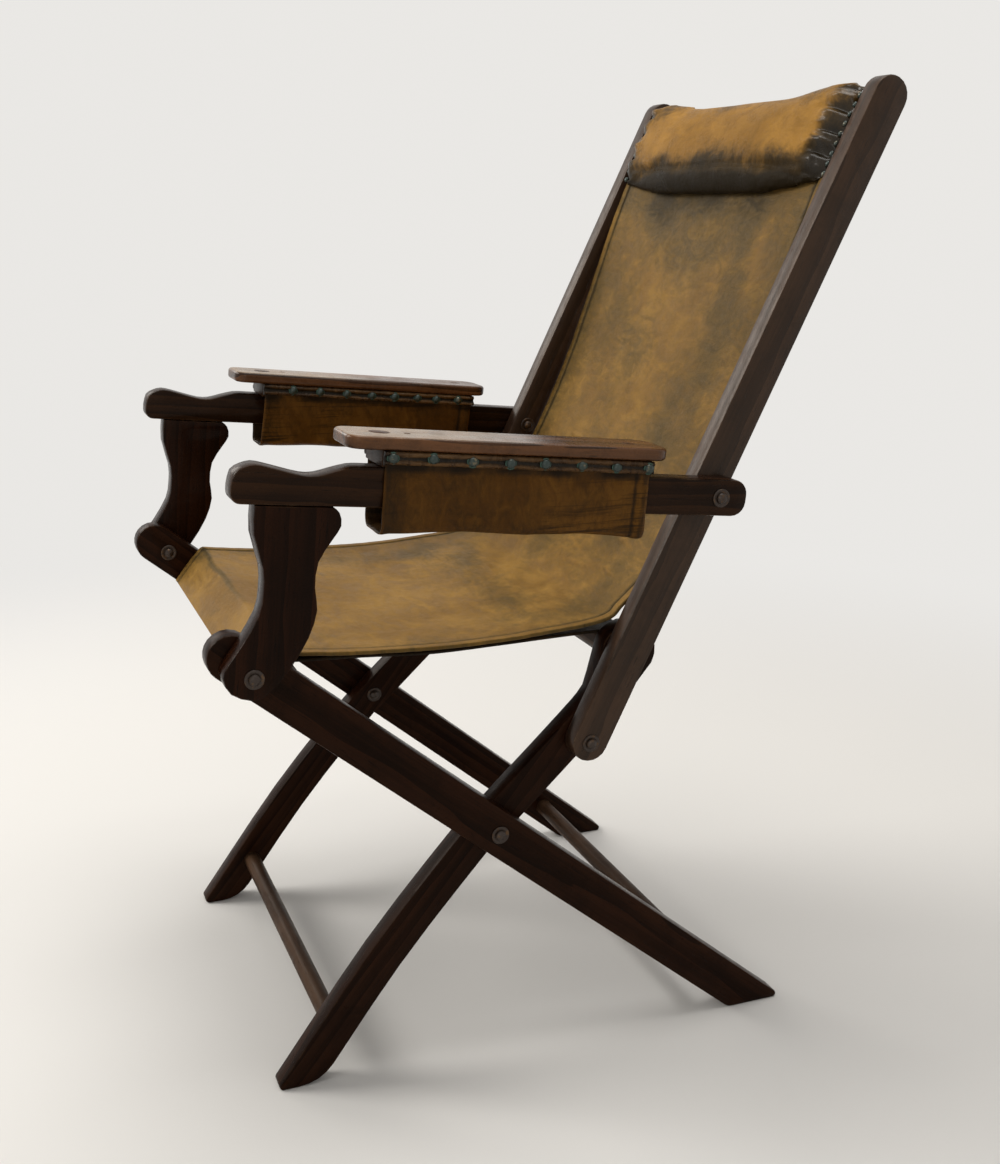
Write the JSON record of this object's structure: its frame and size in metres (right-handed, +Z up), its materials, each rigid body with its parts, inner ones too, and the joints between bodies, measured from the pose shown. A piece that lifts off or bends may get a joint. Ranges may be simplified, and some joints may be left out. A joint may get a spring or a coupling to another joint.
{
  "type": "folding steamer chair",
  "caption": "Folding chair with crossed wooden legs, a leaning back and shaped arms hinged together, a leather sling seat, a stuffed headrest and flat boards on the arms.",
  "frame": {"origin": "on the floor, below the middle of the chair's bounding box", "axes": "+Z up, -Y the way the sitter faces, +X to the sitter's left"},
  "size_m": [0.549, 0.6999, 0.9904],
  "materials": {
    "dark_wood": "dark stained and worn",
    "board_wood": "polished red-brown",
    "sling_leather": "mottled, satin",
    "arm_leather": "creased, satin",
    "dark_leather": "worn",
    "bronzed_steel": "dark patina"
  },
  "bodies": {
    "outer_frame": {"outer_leg_left": "dark_wood", "outer_leg_right": "dark_wood", "crossing_bolt_left": "bronzed_steel", "crossing_bolt_right": "bronzed_steel", "crossing_washer_outer_left": "bronzed_steel", "crossing_washer_outer_right": "bronzed_steel", "arm_foot_washer_inner_left": "bronzed_steel", "arm_foot_washer_inner_right": "bronzed_steel", "front_seat_rail": "dark_wood", "rear_stretcher": "dark_wood", "seat_sling": "sling_leather", "seat_sling_lower": "dark_leather"},
    "inner_frame": {"inner_leg_left": "dark_wood", "inner_leg_right": "dark_wood", "crossing_washer_inner_left": "bronzed_steel", "crossing_washer_inner_right": "bronzed_steel", "back_pivot_washer_inner_left": "bronzed_steel", "back_pivot_washer_inner_right": "bronzed_steel", "rear_seat_rail": "dark_wood", "front_stretcher": "dark_wood"},
    "back": {"back_stile_left": "dark_wood", "back_stile_right": "dark_wood", "back_pivot_bolt_left": "bronzed_steel", "back_pivot_bolt_right": "bronzed_steel", "back_pivot_washer_outer_left": "bronzed_steel", "back_pivot_washer_outer_right": "bronzed_steel", "arm_joint_bolt_inner_left": "bronzed_steel", "arm_joint_bolt_inner_right": "bronzed_steel", "arm_joint_washer_inner_left": "bronzed_steel", "arm_joint_washer_inner_right": "bronzed_steel", "head_rail": "dark_wood", "headrest_cushion": "sling_leather", "back_sling": "sling_leather"},
    "left_arm": {"arm_rail_left": "dark_wood", "arm_post_left": "dark_wood", "arm_batten_left": "dark_wood", "arm_board_left": "board_wood", "arm_sleeve_left": "arm_leather", "arm_binding_outer_left": "dark_leather", "arm_binding_inner_left": "dark_leather", "arm_foot_bolt_left": "bronzed_steel", "arm_foot_washer_outer_left": "bronzed_steel", "arm_joint_bolt_outer_left": "bronzed_steel", "arm_joint_washer_outer_left": "bronzed_steel"},
    "right_arm": {"arm_rail_right": "dark_wood", "arm_post_right": "dark_wood", "arm_batten_right": "dark_wood", "arm_board_right": "board_wood", "arm_sleeve_right": "arm_leather", "arm_binding_outer_right": "dark_leather", "arm_binding_inner_right": "dark_leather", "arm_foot_bolt_right": "bronzed_steel", "arm_foot_washer_outer_right": "bronzed_steel", "arm_joint_bolt_outer_right": "bronzed_steel", "arm_joint_washer_outer_right": "bronzed_steel"}
  },
  "joints": [
    {"name": "inner_leg_fold", "type": "hinge", "parent": "outer_frame", "child": "inner_frame", "pos_m": [0, -0.06654, 0.2555], "axis": [1, 0, 0], "range_deg": [0, 74], "deforming": ["seat_sling", "seat_sling_lower"]},
    {"name": "back_fold", "type": "hinge", "parent": "inner_frame", "child": "back", "pos_m": [0, 0.03096, 0.34], "axis": [1, 0, 0], "range_deg": [-145.8, 0]},
    {"name": "left_arm_fold", "type": "hinge", "parent": "outer_frame", "child": "left_arm", "pos_m": [0, -0.31304, 0.4565], "axis": [1, 0, 0], "range_deg": [-30.4, 0], "deforming": ["arm_sleeve_left"]},
    {"name": "right_arm_fold", "type": "hinge", "parent": "outer_frame", "child": "right_arm", "pos_m": [0, -0.31304, 0.4565], "axis": [1, 0, 0], "range_deg": [-30.4, 0], "deforming": ["arm_sleeve_right"]}
  ],
  "couplings": [
    {"joint": "back_fold", "follows": "inner_leg_fold", "ratio": -1.9688},
    {"joint": "left_arm_fold", "follows": "inner_leg_fold", "ratio": -0.4097},
    {"joint": "right_arm_fold", "follows": "inner_leg_fold", "ratio": -0.4097}
  ]
}
